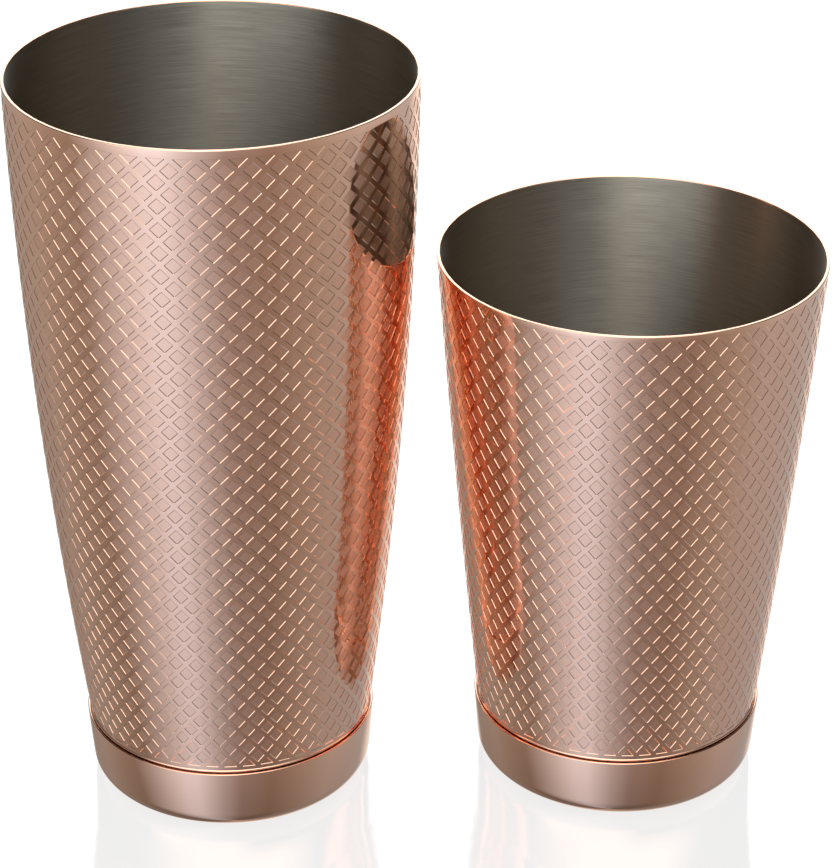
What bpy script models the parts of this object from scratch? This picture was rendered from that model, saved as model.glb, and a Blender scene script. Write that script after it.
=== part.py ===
"""Cocktail shaker set: a large and a small weighted shaker tin that stand side by side.

Units are metres and +Z is up. The origin is on the table, in the middle of the set's footprint.
Each tin is a drawn body over a pressed base cap, with a steel weight, a bond pad and a seam seal
closed in between them. Every piece is turned, so each is a profile with a Screw modifier.
"""

from collections import namedtuple
from math import atan, cos, radians, sin

import bpy

# Rims, heights and the outward bow of each wall at mid-height
LARGE_RIM_R = 0.0460
LARGE_HEIGHT = 0.1785
LARGE_BOW = 0.0023
SMALL_RIM_R = 0.0446
SMALL_HEIGHT = 0.1330
SMALL_BOW = 0.0004

# Where the small tin stands, from the large one
SPACING = 0.0942
SETBACK = 0.0046

# Body: sheet thickness, the foot where the lattice wall ends, and the neck inside the cap
BODY_WALL = 0.0007
FOOT_R = 0.0341
LIP_R = 0.0006
NECK_R = 0.0325
NECK_CORNER_R = 0.0030
NECK_CHAMFER = 0.0004

# Base cap: outer edge radius, height, sheet thickness, corner, and how much the side narrows
CAP_EDGE_R = 0.03465
CAP_HEIGHT = 0.0166
CAP_WALL = 0.0008
CAP_CORNER_R = 0.0050
CAP_TAPER = 0.075

# What is closed in under the body's floor
WEIGHT_R = 0.0290
WEIGHT_THICKNESS = 0.0035
PAD_R = 0.0270
PAD_THICKNESS = 0.0022
SEAL_HEIGHT = 0.0016
SEAL_THICKNESS = 0.0006
EDGE_BREAK = 0.0005

CLEARANCE = 0.0003
SEAM_GAP = 0.0005
TURN_STEPS = 48
WALL_STATIONS = 7
CORNER_POINTS = 4
RIM_POINTS = 5

# Heights that follow from the pieces stacked inside the cap
WEIGHT_Z = CAP_WALL + CLEARANCE
PAD_Z = WEIGHT_Z + WEIGHT_THICKNESS + CLEARANCE
FLOOR_Z = PAD_Z + PAD_THICKNESS + CLEARANCE
SHOULDER_Z = CAP_HEIGHT + SEAM_GAP
FOOT_Z = SHOULDER_Z + LIP_R

COPPER = ((0.66, 0.36, 0.26), 0.16, 1.0)
POLISHED_COPPER = ((0.70, 0.42, 0.32), 0.08, 1.0)
STEEL = ((0.42, 0.42, 0.43), 0.45, 1.0)
EPOXY = ((0.55, 0.48, 0.34), 0.60, 0.0)
SEALANT = ((0.02, 0.02, 0.02), 0.70, 0.0)

Tin = namedtuple("Tin", "name rim_r height bow x y")
LARGE_X = -(SPACING + SMALL_RIM_R - LARGE_RIM_R) / 2
LARGE_Y = -(SETBACK + SMALL_RIM_R - LARGE_RIM_R) / 2
TINS = (
    Tin("large_tin", LARGE_RIM_R, LARGE_HEIGHT, LARGE_BOW, LARGE_X, LARGE_Y),
    Tin("small_tin", SMALL_RIM_R, SMALL_HEIGHT, SMALL_BOW, LARGE_X + SPACING, LARGE_Y + SETBACK),
)


def clear_scene():
    """Removes every object that the scene starts with."""
    for obj in list(bpy.data.objects):
        bpy.data.objects.remove(obj)


def make_material(name, look):
    """A Principled material from a colour, a roughness and a metallic value."""
    color, roughness, metallic = look
    material = bpy.data.materials.new(name)
    material.use_nodes = True
    shader = material.node_tree.nodes["Principled BSDF"]
    shader.inputs["Base Color"].default_value = (*color, 1.0)
    shader.inputs["Roughness"].default_value = roughness
    shader.inputs["Metallic"].default_value = metallic
    material.diffuse_color = (*color, 1.0)
    return material


def arc(center_r, center_z, radius, start, end, count):
    """Points (r, z) on a circle, from one angle to the other, in degrees."""
    turn = [radians(start + (end - start) * i / (count - 1)) for i in range(count)]
    return [(center_r + radius * cos(a), center_z + radius * sin(a)) for a in turn]


def wall_radius(tin, z):
    """Outer radius of a tin's wall: a straight cone from foot to rim plus a parabola's bow."""
    share = (z - FOOT_Z) / (tin.height - FOOT_Z)
    return FOOT_R + (tin.rim_r - FOOT_R) * share + 4 * tin.bow * share * (1 - share)


def body_profile(tin):
    """From the floor's middle up the inside, over the rim, down the outside and back to the axis."""
    rim_z = tin.height - BODY_WALL / 2
    inner_foot_z = SHOULDER_Z + BODY_WALL + NECK_CHAMFER
    corner_r = NECK_R - NECK_CORNER_R
    corner_z = FLOOR_Z + NECK_CORNER_R
    rise = [i / (WALL_STATIONS - 1) for i in range(WALL_STATIONS)]
    inner = [inner_foot_z + (rim_z - inner_foot_z) * s for s in rise[:-1]]
    outer = [rim_z + (FOOT_Z - rim_z) * s for s in rise[1:-1]]

    points = [(0.0, FLOOR_Z + BODY_WALL)]
    points += arc(corner_r, corner_z, NECK_CORNER_R - BODY_WALL, -90, 0, CORNER_POINTS)
    points.append((NECK_R - BODY_WALL, SHOULDER_Z + BODY_WALL))
    points.append((FOOT_R - BODY_WALL - NECK_CHAMFER, SHOULDER_Z + BODY_WALL))
    points += [(wall_radius(tin, z) - BODY_WALL, z) for z in inner]
    points += arc(tin.rim_r - BODY_WALL / 2, rim_z, BODY_WALL / 2, 180, 0, RIM_POINTS)
    points += [(wall_radius(tin, z), z) for z in outer]
    points += arc(FOOT_R - LIP_R, FOOT_Z, LIP_R, 0, -90, CORNER_POINTS)
    points.append((NECK_R, SHOULDER_Z))
    points += arc(corner_r, corner_z, NECK_CORNER_R, 0, -90, CORNER_POINTS)
    points.append((0.0, FLOOR_Z))
    return points


def cap_profile():
    """A shallow pressed cup: flat underside, round corner, and a side that narrows downwards."""
    lean = atan(CAP_TAPER)
    fall = CAP_HEIGHT - CAP_CORNER_R * (1 - sin(lean))
    center_r = CAP_EDGE_R - CAP_TAPER * fall - CAP_CORNER_R * cos(lean)
    lean_deg = lean / radians(1)
    inner_edge_r = CAP_EDGE_R - CAP_WALL
    points = [(0.0, CAP_WALL)]
    inner_corner_r = CAP_CORNER_R - CAP_WALL
    points += arc(center_r, CAP_CORNER_R, inner_corner_r, -90, -lean_deg, CORNER_POINTS)
    edge_r = CAP_WALL / 2
    edge_z = CAP_HEIGHT - edge_r
    points += arc(inner_edge_r + edge_r, edge_z, edge_r, 180, 0, RIM_POINTS)
    points += arc(center_r, CAP_CORNER_R, CAP_CORNER_R, -lean_deg, -90, CORNER_POINTS + 2)
    points.append((0.0, 0.0))
    return points


def disc_profile(radius, low_z, thickness):
    """A flat disc with its edges broken, from the middle of its top to the middle of its underside."""
    top_z = low_z + thickness
    return [
        (0.0, top_z),
        (radius - EDGE_BREAK, top_z),
        (radius, top_z - EDGE_BREAK),
        (radius, low_z + EDGE_BREAK),
        (radius - EDGE_BREAK, low_z),
        (0.0, low_z),
    ]


def seal_profile():
    """A closed loop for the sealant ring between the body's neck and the cap's edge."""
    inner_r = NECK_R + CLEARANCE
    outer_r = inner_r + SEAL_THICKNESS
    top_z = CAP_HEIGHT - CLEARANCE
    low_z = top_z - SEAL_HEIGHT
    return [(inner_r, low_z), (inner_r, top_z), (outer_r, top_z), (outer_r, low_z)]


def turned(name, profile, material, parent, collection, closed=False):
    """A piece turned about its parent's vertical axis."""
    mesh = bpy.data.meshes.new(name)
    edges = [(i, i + 1) for i in range(len(profile) - 1)]
    if closed:
        edges.append((len(profile) - 1, 0))
    mesh.from_pydata([(r, 0.0, z) for r, z in profile], edges, [])
    mesh.materials.append(material)
    obj = bpy.data.objects.new(name, mesh)
    collection.objects.link(obj)
    obj.parent = parent
    screw = obj.modifiers.new("turn", "SCREW")
    screw.axis = "Z"
    screw.steps = TURN_STEPS
    screw.render_steps = TURN_STEPS
    screw.use_merge_vertices = True
    screw.merge_threshold = 0.00001
    screw.use_smooth_shade = True
    return obj


def build_tin(tin, materials, collection):
    """The five pieces of one tin, on an empty that stands on the tin's axis."""
    axis = bpy.data.objects.new(tin.name, None)
    collection.objects.link(axis)
    axis.location = (tin.x, tin.y, 0.0)
    size = tin.name.split("_")[0]
    weight = disc_profile(WEIGHT_R, WEIGHT_Z, WEIGHT_THICKNESS)
    pad = disc_profile(PAD_R, PAD_Z, PAD_THICKNESS)
    turned(f"{size}_tin_body", body_profile(tin), materials["copper"], axis, collection)
    turned(f"{size}_base_cap", cap_profile(), materials["polished"], axis, collection)
    turned(f"{size}_weight_disc", weight, materials["steel"], axis, collection)
    turned(f"{size}_bond_pad", pad, materials["epoxy"], axis, collection)
    turned(f"{size}_seam_seal", seal_profile(), materials["sealant"], axis, collection, closed=True)


def build_set():
    """Both tins, in one collection."""
    clear_scene()
    collection = bpy.data.collections.new("cocktail_shaker_set")
    bpy.context.scene.collection.children.link(collection)
    materials = {
        "copper": make_material("copper_plated_steel", COPPER),
        "polished": make_material("polished_copper_plate", POLISHED_COPPER),
        "steel": make_material("weight_steel", STEEL),
        "epoxy": make_material("cured_epoxy", EPOXY),
        "sealant": make_material("black_sealant", SEALANT),
    }
    for tin in TINS:
        build_tin(tin, materials, collection)


build_set()
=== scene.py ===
from math import cos, radians, sin

import bpy
import numpy as np
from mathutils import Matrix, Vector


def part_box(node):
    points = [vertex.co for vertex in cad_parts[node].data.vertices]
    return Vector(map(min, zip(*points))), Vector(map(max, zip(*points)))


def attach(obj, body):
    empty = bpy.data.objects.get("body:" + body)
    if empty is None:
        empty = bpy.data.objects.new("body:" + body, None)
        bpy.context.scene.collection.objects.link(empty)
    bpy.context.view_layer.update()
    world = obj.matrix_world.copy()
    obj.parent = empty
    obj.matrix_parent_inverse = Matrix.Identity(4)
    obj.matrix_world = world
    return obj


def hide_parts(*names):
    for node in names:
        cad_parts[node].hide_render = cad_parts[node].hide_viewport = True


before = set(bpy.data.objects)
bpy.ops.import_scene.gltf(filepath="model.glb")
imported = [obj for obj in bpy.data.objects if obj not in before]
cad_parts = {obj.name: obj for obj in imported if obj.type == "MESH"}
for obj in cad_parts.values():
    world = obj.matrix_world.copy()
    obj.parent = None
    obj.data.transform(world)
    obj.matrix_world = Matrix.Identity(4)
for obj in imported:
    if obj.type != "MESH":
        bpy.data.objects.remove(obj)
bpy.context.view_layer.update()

MM = 0.001

# Camera: a long lens from the front, looking well down, so that the tins' mouths show.
CAMERA_PLACE = (-0.0049, -0.6193, 0.4146)
CAMERA_DOWN = radians(27.83)
camera_data = bpy.data.cameras.new("camera")
camera_data.lens = 124.4
camera_data.sensor_width = 36
camera_data.shift_x = 0.0180
camera_data.clip_end = 50
camera = bpy.data.objects.new("camera", camera_data)
camera.location = CAMERA_PLACE
camera.rotation_euler = (radians(90) - CAMERA_DOWN, 0, 0)
bpy.context.scene.collection.objects.link(camera)
bpy.context.scene.camera = camera
bpy.context.scene.view_settings.view_transform = "Standard"


# Tin bodies. Each is a drawn stainless steel cup, copper plated outside over a lattice of square
# panes that is pressed into the wall, and left as brushed steel inside. The rim is rounded and
# polished, and under the foot a narrower neck goes down into the base cap.
WALL = 0.70 * MM
FOOT_R, FOOT_Z = 34.10 * MM, 17.70 * MM
SHOULDER_Z = 16.86 * MM
LIP_R, LIP_OUT, LIP_TURN = 0.32 * MM, 0.12 * MM, 60
NECK_R, NECK_CORNER_R = 32.50 * MM, 3.00 * MM
FLOOR_Z = 7.40 * MM
CORNER_POINTS, LIP_POINTS, RIM_POINTS, INNER_RINGS = 6, 9, 6, 30
SMOOTH_WITHIN = radians(20)
SHOULDER_STEP = 0.40 * MM
RIM_WIDTH, RIM_R, RIM_DEEP = 0.78 * MM, 0.20 * MM, 1.60 * MM
LATTICE_LOW_Z = 18.60 * MM
PANE_SHARE = 0.713
EDGE_SHARE = 0.034
PANE_DEPTH = 0.09 * MM
CUT_EDGE = 0.08 * MM
TINS = {
    "large_tin": {"bow": 2.3 * MM, "columns": 50, "half_rows": 58, "plain": 2.1 * MM, "turn": 0.39},
    "small_tin": {"bow": 0.4 * MM, "columns": 52, "half_rows": 39, "plain": 1.5 * MM, "turn": 0.12},
}
for name, tin in TINS.items():
    low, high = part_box(name.replace("_tin", "_tin_body"))
    tin["axis"] = np.array([(low.x + high.x) / 2, (low.y + high.y) / 2])
    tin["rim_r"] = (high.x - low.x) / 2
    tin["height"] = high.z


def arc(center_r, center_z, radius, start, end, count):
    """Points (r, z) on a circle, from one angle to the other in degrees, at even steps."""
    angle = np.radians(np.linspace(start, end, count))
    return np.column_stack([center_r + radius * np.cos(angle), center_z + radius * np.sin(angle)])


def wall_radius(tin, z):
    """A straight cone from foot to rim, plus a parabola that bows it outward at mid-height."""
    share = (z - FOOT_Z) / (tin["height"] - FOOT_Z)
    return FOOT_R + (tin["rim_r"] - FOOT_R) * share + 4 * tin["bow"] * share * (1 - share)


def profile_normals(points):
    """At each point the mean of the normals of the two runs that meet there, to the run's right."""
    run = np.diff(points, axis=0)
    normal = np.column_stack([run[:, 1], -run[:, 0]])
    normal /= np.linalg.norm(normal, axis=1, keepdims=True)
    total = np.vstack([normal[:1], normal]) + np.vstack([normal, normal[-1:]])
    return total / np.linalg.norm(total, axis=1, keepdims=True)


def turned_points(axis, turn, radius, z):
    """Points at a turn from the front, in radians and anticlockwise from above, round an axis."""
    x = axis[0] + radius * np.sin(turn)
    y = axis[1] - radius * np.cos(turn)
    return np.stack(np.broadcast_arrays(x, y, z), axis=-1)


def ring_quads(rings, around):
    """Quads between each ring and the next, for rings in order up the outside, as pairs of numbers:
    ring and place on it. The place runs one past the last, where the ring closes."""
    ring, place = np.meshgrid(np.asarray(rings), np.arange(around), indexing="ij")
    corners = [(ring, place), (ring, place + 1), (ring + 1, place + 1), (ring + 1, place)]
    return np.stack([np.stack(c, axis=-1).reshape(-1, 2) for c in corners], axis=1)


def mesh_piece(name, points, normals, faces, corner_maps, face_finish, materials, pane=None):
    """A mesh from points, smooth normals and faces, with a UV map and a finish number for each face.
    A face nearly square to its points' smooth normals takes them, and any other is shaded flat."""
    mesh = bpy.data.meshes.new(name)
    mesh.from_pydata(points, [], faces)
    for material in materials:
        mesh.materials.append(material)
    mesh.polygons.foreach_set("material_index", face_finish.astype(np.int32))
    mesh.polygons.foreach_set("use_smooth", np.ones(len(faces), bool))
    uv = mesh.uv_layers.new(name="around_and_along")
    uv.data.foreach_set("uv", corner_maps.astype(np.float32).ravel())
    if pane is not None:
        mesh.attributes.new("pane", "FLOAT", "FACE").data.foreach_set("value", pane.astype(np.float32))
    corner_point = np.empty(len(mesh.loops), np.int32)
    mesh.loops.foreach_get("vertex_index", corner_point)
    sides = np.empty(len(faces), np.int32)
    mesh.polygons.foreach_get("loop_total", sides)
    flat = np.empty(len(faces) * 3, np.float32)
    mesh.polygons.foreach_get("normal", flat)
    flat = np.repeat(flat.reshape(-1, 3), sides, axis=0)
    smooth = np.asarray(normals)[corner_point]
    near = (flat * smooth).sum(axis=1, keepdims=True) > cos(SMOOTH_WITHIN)
    mesh.normals_split_custom_set(np.where(near, smooth, flat).tolist())
    piece = bpy.data.objects.new(name, mesh)
    bpy.context.scene.collection.objects.link(piece)
    return piece


def body_piece(name, tin, materials):
    """The body as rings of points: up the outside from the neck's corner, over the rim, and down
    the inside to the floor. Between the foot and the rim the rings are the lattice's own.

    The lattice is drawn in a = u + v and b = u - v, where u counts columns round the tin and v
    counts rows up it. Panes are centred where both are whole numbers. Each has a stop at either
    side of a pane's two sloping edges, and the wall is pressed in where both are inside them.
    A line of constant v runs through the stops, so the lattice ends on straight level edges."""
    half = PANE_SHARE / 2
    stops = np.array([-half, EDGE_SHARE - half, half - EDGE_SHARE, half])
    inside = np.array([0.0, 1.0, 1.0, 0.0])
    steps = len(stops)
    around = steps * tin["columns"]
    rows = steps * tin["half_rows"]

    def stop(index):
        return index // steps + stops[index % steps]

    lattice_high = tin["height"] - tin["plain"]
    rim_z = tin["height"] - RIM_R
    corner_r = NECK_R - NECK_CORNER_R
    corner_z = FLOOR_Z + NECK_CORNER_R
    low_edge, high_edge = LATTICE_LOW_Z - CUT_EDGE, lattice_high + CUT_EDGE
    outside = np.vstack([
        arc(corner_r, corner_z, NECK_CORNER_R, -90, 0, CORNER_POINTS),
        [(NECK_R, SHOULDER_Z)],
        arc(FOOT_R + LIP_OUT - LIP_R, SHOULDER_Z + LIP_R, LIP_R, -90, LIP_TURN, LIP_POINTS),
        [(FOOT_R, FOOT_Z)],
        [(wall_radius(tin, low_edge), low_edge)],
    ])
    inner_z = np.linspace(tin["height"] - RIM_DEEP, SHOULDER_Z + WALL + SHOULDER_STEP, INNER_RINGS)
    inside_wall = np.column_stack([wall_radius(tin, inner_z) - WALL, inner_z])
    over = np.vstack([
        [(wall_radius(tin, high_edge), high_edge)],
        arc(tin["rim_r"] - RIM_R, rim_z, RIM_R, 0, 90, RIM_POINTS),
        arc(tin["rim_r"] - RIM_WIDTH + RIM_R, rim_z, RIM_R, 90, 180, RIM_POINTS),
        inside_wall,
        [(FOOT_R - WALL - SHOULDER_STEP, SHOULDER_Z + WALL), (NECK_R - WALL, SHOULDER_Z + WALL)],
        arc(corner_r, corner_z, NECK_CORNER_R - WALL, 0, -90, CORNER_POINTS),
    ])

    place = np.arange(around + 1)[None, :]
    row = np.arange(rows + 1)[:, None]
    a, b = stop(place + 0 * row), stop(place - row)
    z = LATTICE_LOW_Z + (lattice_high - LATTICE_LOW_Z) * (a - b) / tin["half_rows"]
    pressed = PANE_DEPTH * inside[place % steps] * inside[(place - row) % steps]
    u = (a + b) / 2
    low_u = np.repeat(u[:1], len(outside), axis=0)
    high_u = np.repeat(u[-1:], len(over), axis=0)
    all_u = np.vstack([low_u, u, high_u])
    fixed = np.ones((1, around + 1))
    all_z = np.vstack([outside[:, 1:] * fixed, z, over[:, 1:] * fixed])
    all_r = np.vstack([outside[:, :1] * fixed, wall_radius(tin, z) - pressed, over[:, :1] * fixed])
    turn = 2 * np.pi * (all_u + tin["turn"]) / tin["columns"]

    step = 0.01 * MM
    slope = (wall_radius(tin, all_z + step) - wall_radius(tin, all_z - step)) / (2 * step)
    length = np.hypot(1, slope)
    normal_r, normal_z = 1 / length, -slope / length
    for part, rings in ((outside, slice(0, len(outside))), (over, slice(-len(over), None))):
        across = profile_normals(part)
        keep = slice(0, -1) if part is outside else slice(1, None)
        normal_r[rings][keep] = across[keep, :1]
        normal_z[rings][keep] = across[keep, 1:]

    points = turned_points(tin["axis"], turn, all_r, all_z)[:, :-1].reshape(-1, 3)
    normals = np.stack([normal_r * np.sin(turn), -normal_r * np.cos(turn), normal_z], axis=-1)
    normals = normals[:, :-1].reshape(-1, 3)

    first, last = len(outside), len(outside) + rows
    plain_rings = np.r_[0:first, last:len(all_z) - 1]
    plain = ring_quads(plain_rings, around)
    ring, place = np.meshgrid(np.arange(first + 1, last), np.arange(around), indexing="ij")
    ring, place = ring.ravel(), place.ravel()
    rhombs = np.stack([
        np.column_stack([ring, place]),
        np.column_stack([ring - 1, place]),
        np.column_stack([ring, place + 1]),
        np.column_stack([ring + 1, place + 1]),
    ], axis=1)
    place = np.arange(around)
    low_halves = np.stack([
        np.column_stack([place * 0 + first, place]),
        np.column_stack([place * 0 + first, place + 1]),
        np.column_stack([place * 0 + first + 1, place + 1]),
    ], axis=1)
    high_halves = np.stack([
        np.column_stack([place * 0 + last, place]),
        np.column_stack([place * 0 + last - 1, place]),
        np.column_stack([place * 0 + last, place + 1]),
    ], axis=1)

    under = len(points)
    points = np.vstack([points, [(*tin["axis"], FLOOR_Z), (*tin["axis"], FLOOR_Z + WALL)]])
    normals = np.vstack([normals, [(0, 0, -1), (0, 0, 1)]])
    top_ring = (len(all_z) - 1) * around
    after = (place + 1) % around
    under_fan = np.column_stack([after, place, place * 0 + under])
    floor_fan = np.column_stack([top_ring + place, top_ring + after, place * 0 + under + 1])

    def numbers(corners):
        return corners[..., 0] * around + corners[..., 1] % around

    groups = [plain, rhombs, low_halves, high_halves]
    faces = [face for group in groups for face in numbers(group).tolist()]
    faces += under_fan.tolist() + floor_fan.tolist()
    lengths = np.concatenate([[0], np.hypot(*np.diff(np.vstack([outside, over]), axis=0).T).cumsum()])
    along = all_z.copy()
    along[:first] = all_z[first].mean() - (lengths[first - 1] - lengths[:first, None])
    along[last + 1:] = all_z[last + 1].mean() + (lengths[first:, None] - lengths[first])
    around_m = turn * tin["rim_r"]
    maps = [
        np.stack([around_m[c[..., 0], c[..., 1]], along[c[..., 0], c[..., 1]]], axis=-1).reshape(-1, 2)
        for c in groups
    ]
    maps.append(np.zeros((3 * around, 2)))
    maps.append(np.full((3 * around, 2), along[-1, 0] + corner_r))
    first_inside = last + 1 + 2 * RIM_POINTS
    plain_finish = (plain[:, 0, 0] >= first_inside).astype(int)
    lattice_faces = len(rhombs) + 2 * around
    finish = np.concatenate([plain_finish, np.zeros(lattice_faces + around), np.ones(around)])
    left, drop = rhombs[:, 0, 1], first - rhombs[:, 0, 0]
    pressed_in = inside[left % steps] * inside[(left + 1) % steps]
    pressed_in = pressed_in * inside[(left + drop) % steps] * inside[(left + 1 + drop) % steps]
    in_pane = np.concatenate([np.zeros(len(plain)), pressed_in, np.zeros(4 * around)])
    return mesh_piece(name, points, normals, faces, np.vstack(maps), finish, materials, in_pane)


def linear(hex_code):
    """An sRGB hex colour as linear red, green, blue and alpha."""
    srgb = np.array([int(hex_code[k:k + 2], 16) for k in (1, 3, 5)]) / 255
    return (*np.where(srgb <= 0.04045, srgb / 12.92, ((srgb + 0.055) / 1.055) ** 2.4).tolist(), 1.0)


def add_node(tree, kind, settings=None, links=None):
    """Adds a node: settings are its own attributes, and links give its inputs a value or an output."""
    node = tree.nodes.new(kind)
    for key, value in (settings or {}).items():
        setattr(node, key, value)
    for key, value in (links or {}).items():
        if isinstance(value, bpy.types.NodeSocket):
            tree.links.new(value, node.inputs[key])
        else:
            node.inputs[key].default_value = value
    return node


def new_finish(name, color, metallic, roughness):
    """A Principled material with its even values set on the shader's own sockets."""
    material = bpy.data.materials.new(name)
    material.use_nodes = True
    shader = material.node_tree.nodes["Principled BSDF"]
    shader.inputs["Base Color"].default_value = linear(color)
    shader.inputs["Metallic"].default_value = metallic
    shader.inputs["Roughness"].default_value = roughness
    return material, material.node_tree, shader


# Bright copper plate over embossed steel: the raised strips are polished like the caps, and the
# pressed panes keep the fine satin grain of the press tool, so they blur what they reflect. A mist
# of handling, in patches about 22 mm across, dulls both a little.
MIST_SIZE, GRAIN_SIZE, GRAIN_STRENGTH = 22.22 * MM, 0.25 * MM, 0.10
copper_plate, tree, shader = new_finish("bright_copper_plate", "#F9BB9A", 1.0, 0.12)
place = add_node(tree, "ShaderNodeTexCoord")
pane = add_node(tree, "ShaderNodeAttribute", {"attribute_name": "pane"})
mist = add_node(tree, "ShaderNodeTexNoise", None, {
    "Vector": place.outputs["Object"], "Scale": 1 / MIST_SIZE, "Detail": 3.0, "Roughness": 0.6})
pane_rough = add_node(tree, "ShaderNodeMapRange", None, {
    "Value": pane.outputs["Fac"], "To Min": 0.05, "To Max": 0.26})
worn = add_node(tree, "ShaderNodeMapRange", None, {
    "Value": mist.outputs["Fac"], "From Min": 0.35, "From Max": 0.65,
    "To Min": -0.01, "To Max": 0.02})
rough = add_node(tree, "ShaderNodeMath", {"operation": "ADD"}, {
    0: pane_rough.outputs["Result"], 1: worn.outputs["Result"]})
tree.links.new(rough.outputs["Value"], shader.inputs["Roughness"])
grain = add_node(tree, "ShaderNodeTexNoise", None, {
    "Vector": place.outputs["Object"], "Scale": 1 / GRAIN_SIZE, "Detail": 1.0})
grain_depth = add_node(tree, "ShaderNodeMath", {"operation": "MULTIPLY"}, {
    0: pane.outputs["Fac"], 1: GRAIN_STRENGTH})
grain_bump = add_node(tree, "ShaderNodeBump", None, {
    "Strength": grain_depth.outputs["Value"], "Distance": 0.02 * MM, "Height": grain.outputs["Fac"]})
tree.links.new(grain_bump.outputs["Normal"], shader.inputs["Normal"])

# Brushed stainless steel: a pad run round the spinning cup leaves scratches that circle it, so
# light spreads up and down the wall. They are drawn about 0.2 mm apart, coarser than real, to show.
brushed_steel, tree, shader = new_finish("brushed_stainless_steel", "#C9C1B2", 1.0, 0.38)
SCRATCH_WIDTH, SCRATCH_LENGTH = 0.22 * MM, 14 * MM
place = add_node(tree, "ShaderNodeUVMap", {"uv_map": "around_and_along"})
stretched = add_node(tree, "ShaderNodeMapping", None, {
    "Vector": place.outputs["UV"], "Scale": (1 / SCRATCH_LENGTH, 1 / SCRATCH_WIDTH, 1)})
scratches = add_node(tree, "ShaderNodeTexNoise", None, {
    "Vector": stretched.outputs["Vector"], "Scale": 1.0, "Detail": 3.0, "Roughness": 0.7})
scratch_tone = add_node(tree, "ShaderNodeValToRGB", None, {"Fac": scratches.outputs["Fac"]})
for element, (position, color) in zip(
    scratch_tone.color_ramp.elements, ((0.25, "#A09182"), (0.75, "#C5B6A4"))
):
    element.position = position
    element.color = linear(color)
scratch_rough = add_node(tree, "ShaderNodeMapRange", None, {
    "Value": scratches.outputs["Fac"], "From Min": 0.3, "From Max": 0.7,
    "To Min": 0.34, "To Max": 0.44})
scratch_bump = add_node(tree, "ShaderNodeBump", None, {
    "Strength": 0.2, "Distance": 0.02 * MM, "Height": scratches.outputs["Fac"]})
tree.links.new(scratch_tone.outputs["Color"], shader.inputs["Base Color"])
tangent = add_node(tree, "ShaderNodeTangent", {
    "direction_type": "UV_MAP", "uv_map": "around_and_along"})
shader.inputs["Anisotropic"].default_value = 0.85
shader.inputs["Anisotropic Rotation"].default_value = 0.25
tree.links.new(scratch_rough.outputs["Result"], shader.inputs["Roughness"])
tree.links.new(scratch_bump.outputs["Normal"], shader.inputs["Normal"])
tree.links.new(tangent.outputs["Tangent"], shader.inputs["Tangent"])

for name, tin in TINS.items():
    node = name.replace("_tin", "_tin_body")
    piece = body_piece(name.replace("_tin", "_cup"), tin, [copper_plate, brushed_steel])
    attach(piece, name)
    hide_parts(node)


# Base caps. Each is a plain pressed steel cup, copper plated and polished, that is pushed up over
# the body's neck and closes the weight in. Its edge is rounded, and its side narrows downwards.
CAP_WALL = 0.80 * MM
CAP_EDGE_R = 0.25 * MM
CAP_CORNER_R = 5.00 * MM
CAP_TAPER = 0.075
CAP_CORNER_POINTS, CAP_EDGE_POINTS, CAP_INNER_POINTS = 16, 6, 10
TURN_STEPS = 192


def turned_piece(name, axis, profile, materials, closed=False):
    """A profile carried round an axis. It runs up the outside and back down the inside, and either
    closes on itself or has both its ends on the axis."""
    if closed:
        profile = np.vstack([profile, profile[:1]])
    turn = 2 * np.pi * np.arange(TURN_STEPS + 1) / TURN_STEPS
    across = profile_normals(profile)
    if closed:
        across[0] = across[-1] = across[0] + across[-1]
        across /= np.linalg.norm(across, axis=1, keepdims=True)
        body, bands = profile[:-1], len(profile) - 1
    else:
        body, bands = profile[1:-1], len(profile) - 3
        across = across[1:-1]
    points = turned_points(axis, turn[None, :-1], body[:, :1], body[:, 1:]).reshape(-1, 3)
    rings = len(body)
    direction = np.stack([np.sin(turn[:-1]), -np.cos(turn[:-1])], axis=-1)
    sideways = across[:rings, None, :1] * direction[None]
    upright = np.repeat(across[:rings, 1:], TURN_STEPS, axis=1)[..., None]
    normals = np.concatenate([sideways, upright], axis=-1).reshape(-1, 3)
    quads = ring_quads(np.arange(bands), TURN_STEPS)
    faces = ((quads[..., 0] % rings) * TURN_STEPS + quads[..., 1] % TURN_STEPS).tolist()
    lengths = np.concatenate([[0], np.hypot(*np.diff(profile, axis=0).T).cumsum()])
    if not closed:
        lengths = lengths[1:-1]
    around_m = turn[quads[..., 1]] * profile[:, 0].max()
    maps = [np.stack([around_m, lengths[quads[..., 0]]], axis=-1).reshape(-1, 2)]
    if not closed:
        place = np.arange(TURN_STEPS)
        after = (place + 1) % TURN_STEPS
        start = len(points)
        points = np.vstack([points, [(*axis, profile[0, 1]), (*axis, profile[-1, 1])]])
        normals = np.vstack([normals, [(0, 0, -1), (0, 0, 1)]])
        end_ring = (rings - 1) * TURN_STEPS
        faces += np.column_stack([after, place, place * 0 + start]).tolist()
        faces += np.column_stack([end_ring + place, end_ring + after, place * 0 + start + 1]).tolist()
        maps.append(np.zeros((6 * TURN_STEPS, 2)))
    return mesh_piece(name, points, normals, faces, np.vstack(maps), np.zeros(len(faces)), materials)


# Polished copper plate: much smoother than the panes, with a faint haze where it has been wiped.
HAZE_SIZE = 16.67 * MM
polished_copper, tree, shader = new_finish("polished_copper_plate", "#EEB292", 1.0, 0.08)
place = add_node(tree, "ShaderNodeTexCoord")
haze = add_node(tree, "ShaderNodeTexNoise", None, {
    "Vector": place.outputs["Object"], "Scale": 1 / HAZE_SIZE, "Detail": 4.0, "Roughness": 0.6})
haze_rough = add_node(tree, "ShaderNodeMapRange", None, {
    "Value": haze.outputs["Fac"], "From Min": 0.35, "From Max": 0.7, "To Min": 0.07, "To Max": 0.13})
tree.links.new(haze_rough.outputs["Result"], shader.inputs["Roughness"])

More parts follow.
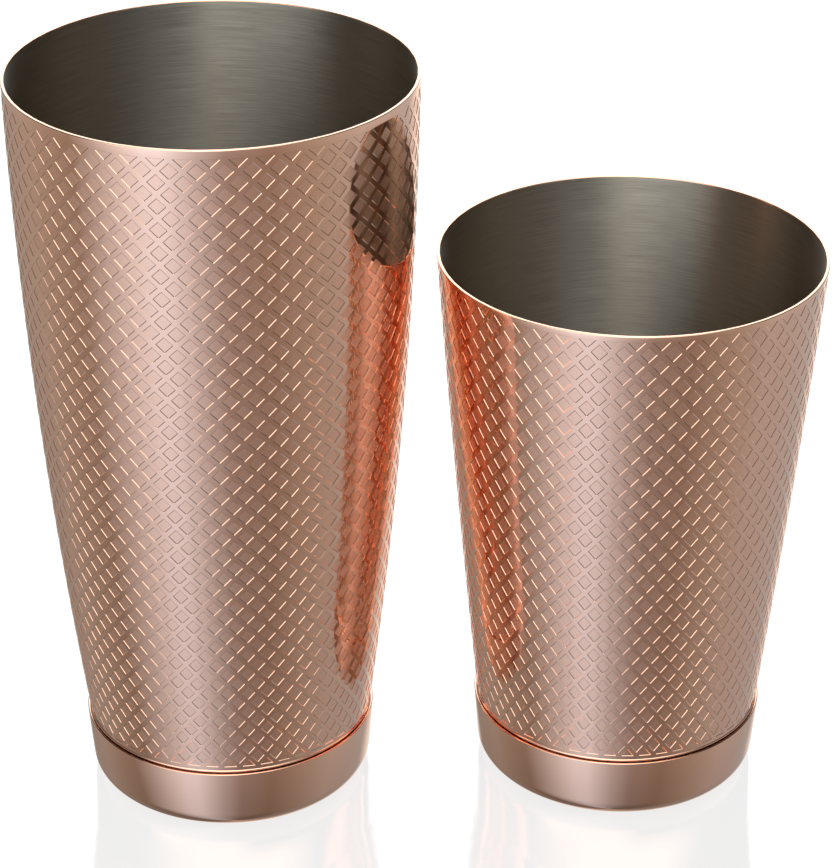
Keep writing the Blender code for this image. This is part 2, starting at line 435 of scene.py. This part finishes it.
for name, tin in TINS.items():
    node = name.replace("_tin", "_base_cap")
    low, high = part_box(node)
    edge_r, height = (high.x - low.x) / 2, high.z
    inner_r = edge_r - CAP_WALL
    lean = np.arctan(CAP_TAPER)
    lean_deg = np.degrees(lean)
    side_height = height - CAP_CORNER_R * (1 - sin(lean))
    corner_r = edge_r - CAP_TAPER * side_height - CAP_CORNER_R * cos(lean)
    profile = np.vstack([
        [(0, 0)],
        arc(corner_r, CAP_CORNER_R, CAP_CORNER_R, -90, -lean_deg, CAP_CORNER_POINTS),
        arc(edge_r - CAP_EDGE_R, height - CAP_EDGE_R, CAP_EDGE_R, 0, 90, CAP_EDGE_POINTS),
        arc(inner_r + CAP_EDGE_R, height - CAP_EDGE_R, CAP_EDGE_R, 90, 180, CAP_EDGE_POINTS),
        arc(corner_r, CAP_CORNER_R, CAP_CORNER_R - CAP_WALL, -lean_deg, -90, CAP_INNER_POINTS),
        [(0, CAP_WALL)],
    ])
    piece = turned_piece(name.replace("_tin", "_foot_cap"), tin["axis"], profile, [polished_copper])
    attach(piece, name)
    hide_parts(node)


# Seam seals. A bead of black silicone fills the joint between the neck and the cap's edge. It is
# laid wet and smoothed by a tool, so its corners are round and its skin is slightly uneven.
SEAL_CORNER_R = 0.30 * MM
SEAL_POINTS = 5
SKIN_SIZE = 0.667 * MM
seam_sealant, tree, shader = new_finish("black_silicone_sealant", "#15120F", 0.0, 0.55)
place = add_node(tree, "ShaderNodeTexCoord")
skin = add_node(tree, "ShaderNodeTexNoise", None, {
    "Vector": place.outputs["Object"], "Scale": 1 / SKIN_SIZE, "Detail": 2.0})
skin_bump = add_node(tree, "ShaderNodeBump", None, {
    "Strength": 0.3, "Distance": 0.05 * MM, "Height": skin.outputs["Fac"]})
tree.links.new(skin_bump.outputs["Normal"], shader.inputs["Normal"])
for name, tin in TINS.items():
    node = name.replace("_tin", "_seam_seal")
    low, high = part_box(node)
    center_r = (high.x - low.x) / 2 - SEAL_CORNER_R
    low_z, high_z = low.z + SEAL_CORNER_R, high.z - SEAL_CORNER_R
    profile = np.vstack([
        arc(center_r, low_z, SEAL_CORNER_R, -90, 0, SEAL_POINTS),
        arc(center_r, high_z, SEAL_CORNER_R, 0, 90, SEAL_POINTS),
        arc(center_r, high_z, SEAL_CORNER_R, 90, 180, SEAL_POINTS)[1:],
        arc(center_r, low_z, SEAL_CORNER_R, 180, 270, SEAL_POINTS)[:-1],
    ])
    seal_name = name.replace("_tin", "_seam_bead")
    piece = turned_piece(seal_name, tin["axis"], profile, [seam_sealant], closed=True)
    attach(piece, name)
    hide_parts(node)


# Weights and their bonds, closed in under the floors: a slug blanked from rolled steel plate, with
# the plate's mottled mill finish, and the cured epoxy that holds it.
MOTTLE_SIZE, CLOUD_SIZE = 1.111 * MM, 8.333 * MM
bare_steel, tree, shader = new_finish("rolled_mild_steel", "#8E8F90", 1.0, 0.42)
place = add_node(tree, "ShaderNodeTexCoord")
mottle = add_node(tree, "ShaderNodeTexNoise", None, {
    "Vector": place.outputs["Object"], "Scale": 1 / MOTTLE_SIZE, "Detail": 3.0})
mottle_rough = add_node(tree, "ShaderNodeMapRange", None, {
    "Value": mottle.outputs["Fac"], "To Min": 0.34, "To Max": 0.52})
tree.links.new(mottle_rough.outputs["Result"], shader.inputs["Roughness"])
cured_epoxy, tree, shader = new_finish("cured_epoxy_resin", "#C4B58F", 0.0, 0.45)
place = add_node(tree, "ShaderNodeTexCoord")
cloud = add_node(tree, "ShaderNodeTexNoise", None, {
    "Vector": place.outputs["Object"], "Scale": 1 / CLOUD_SIZE, "Detail": 4.0})
cloud_rough = add_node(tree, "ShaderNodeMapRange", None, {
    "Value": cloud.outputs["Fac"], "To Min": 0.35, "To Max": 0.6})
tree.links.new(cloud_rough.outputs["Result"], shader.inputs["Roughness"])
for size in ("large", "small"):
    for part, material, slot in (
        ("weight_disc", bare_steel, "bare_steel"),
        ("bond_pad", cured_epoxy, "cured_epoxy"),
    ):
        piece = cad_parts[f"{size}_{part}"]
        piece.material_slots[0].material = material


# Floor: a white acrylic table lit from below, so no shadow shows on it. The glow gives its white, so
# its own colour is kept dark, and it is polished, so the caps leave a faint mirror image in it.
FLOOR_HALF = 12.0
mesh = bpy.data.meshes.new("floor")
corners = FLOOR_HALF * np.array([(-1, -1, 0), (1, -1, 0), (1, 1, 0), (-1, 1, 0)])
mesh.from_pydata(corners.tolist(), [], [(0, 1, 2, 3)])
lit_acrylic, tree, shader = new_finish("lit_white_acrylic", "#505050", 0.0, 0.06)
shader.inputs["Emission Color"].default_value = (1, 1, 1, 1)
shader.inputs["Emission Strength"].default_value = 0.80
shader.inputs["IOR"].default_value = 1.7
mesh.materials.append(lit_acrylic)
floor = bpy.data.objects.new("floor", mesh)
bpy.context.scene.collection.objects.link(floor)
floor.visible_glossy = False

# Studio tent: a large sphere of pale cloth that only polished surfaces see. Its brightness goes by
# compass direction, in three layers: what the tins mirror in place of the table, the softbox and
# dark cloths beside them, and the cloth overhead.
TENT_R, TENT_AROUND, TENT_RINGS = 20.0, 64, 32
turn = 2 * np.pi * np.arange(TENT_AROUND) / TENT_AROUND
rise = np.linspace(-np.pi / 2, np.pi / 2, TENT_RINGS + 2)[1:-1]
turn, rise = np.meshgrid(turn, rise)
level = np.cos(rise)
points = TENT_R * np.stack([level * np.sin(turn), -level * np.cos(turn), np.sin(rise)], axis=-1)
quads = ring_quads(np.arange(TENT_RINGS - 1), TENT_AROUND)
faces = (quads[..., 0] * TENT_AROUND + quads[..., 1] % TENT_AROUND).tolist()
place = np.arange(TENT_AROUND)
after = (place + 1) % TENT_AROUND
top_ring = rise.size - TENT_AROUND
faces += np.column_stack([after, place, place * 0 + rise.size]).tolist()
faces += np.column_stack([top_ring + place, top_ring + after, place * 0 + rise.size + 1]).tolist()
points = np.vstack([points.reshape(-1, 3), [(0, 0, -TENT_R), (0, 0, TENT_R)]])
mesh = bpy.data.meshes.new("studio_tent")
mesh.from_pydata(points.tolist(), [], faces)
tent_cloth = bpy.data.materials.new("studio_tent_cloth")
tent_cloth.use_nodes = True
tent_cloth.cycles.emission_sampling = "NONE"
tree = tent_cloth.node_tree
tree.nodes.clear()
place = add_node(tree, "ShaderNodeTexCoord")
split = add_node(tree, "ShaderNodeSeparateXYZ", None, {"Vector": place.outputs["Object"]})
forward = add_node(tree, "ShaderNodeMath", {"operation": "MULTIPLY"}, {0: split.outputs["Y"], 1: -1.0})
azimuth = add_node(tree, "ShaderNodeMath", {"operation": "ARCTAN2"}, {
    0: split.outputs["X"], 1: forward.outputs["Value"]})
compass = add_node(tree, "ShaderNodeMapRange", None, {
    "Value": azimuth.outputs["Value"], "From Min": -np.pi, "From Max": np.pi})
TOWARD_FLOOR = (
    (-180, "#CCCAC4"), (-170, "#C0BEB8"), (-157, "#787670"), (-120, "#80888A"),
    (-80, "#707272"), (-65, "#8C9AA8"), (-45, "#B0C8E2"), (-35, "#BCDAFC"),
    (-25, "#BCDAFC"), (-5, "#92A4B8"), (10, "#767C84"), (35, "#6E6E6E"),
    (60, "#7E8486"), (90, "#8E9AA4"), (140, "#8A98A0"), (158, "#C2C0BA"),
)
BESIDE = (
    (-180, "#E6F6FF"), (-162, "#E6F6FF"), (-148, "#34383A"), (-68, "#3D4144"),
    (-55, "#C7D4DC"), (-48, "#E6F6FF"), (0, "#E6F6FF"), (8, "#C3D0D8"),
    (19, "#414548"), (100, "#2F3234"), (148, "#2F3234"), (162, "#E6F6FF"),
)
OVERHEAD = (
    (-180, "#E6F6FF"), (-162, "#E6F6FF"), (-148, "#0B0C0C"), (-104, "#121314"),
    (-82, "#3A3E40"), (-62, "#7B8388"), (-44, "#BCC8D0"), (-24, "#E6F6FF"),
    (40, "#E6F6FF"), (56, "#B1BDC4"), (72, "#53595C"), (90, "#0E0F10"),
    (112, "#070808"), (148, "#070808"), (162, "#E6F6FF"),
)
glows = []
for stops, lowest_glow, level_glow in (
    (TOWARD_FLOOR, 0.88, 2.60),
    (BESIDE, 2.5, 2.5),
    (OVERHEAD, 2.8, 2.8),
):
    ramp = add_node(tree, "ShaderNodeValToRGB", None, {"Fac": compass.outputs["Result"]})
    while len(ramp.color_ramp.elements) < len(stops):
        ramp.color_ramp.elements.new(1.0)
    for element, (degrees, color) in zip(ramp.color_ramp.elements, stops):
        element.position = degrees / 360 + 0.5
        element.color = linear(color)
    strength = add_node(tree, "ShaderNodeMapRange", None, {
        "Value": split.outputs["Z"], "From Min": -TENT_R, "From Max": 0.0,
        "To Min": lowest_glow, "To Max": level_glow})
    glows.append(add_node(tree, "ShaderNodeEmission", None, {
        "Color": ramp.outputs["Color"], "Strength": strength.outputs["Result"]}))
BESIDE_FROM, OVERHEAD_FROM = (-0.14, 0.02), (0.38, 0.52)
shader = glows[0].outputs["Emission"]
for glow, (low_z, high_z) in zip(glows[1:], (BESIDE_FROM, OVERHEAD_FROM)):
    share = add_node(tree, "ShaderNodeMapRange", {"interpolation_type": "SMOOTHSTEP"}, {
        "Value": split.outputs["Z"], "From Min": low_z * TENT_R, "From Max": high_z * TENT_R})
    shader = add_node(tree, "ShaderNodeMixShader", None, {
        0: share.outputs["Result"], 1: shader, 2: glow.outputs["Emission"]}).outputs["Shader"]
add_node(tree, "ShaderNodeOutputMaterial", None, {"Surface": shader})
mesh.materials.append(tent_cloth)
tent = bpy.data.objects.new("studio_tent", mesh)
bpy.context.scene.collection.objects.link(tent)
tent.visible_camera = False
tent.visible_diffuse = False
tent.visible_shadow = False
tent.visible_transmission = False

# World: even white light for everything that is not polished.
world = bpy.data.worlds.new("studio")
bpy.context.scene.world = world
world.use_nodes = True
background = world.node_tree.nodes["Background"]
background.inputs["Color"].default_value = (1, 1, 1, 1)
background.inputs["Strength"].default_value = 1.0
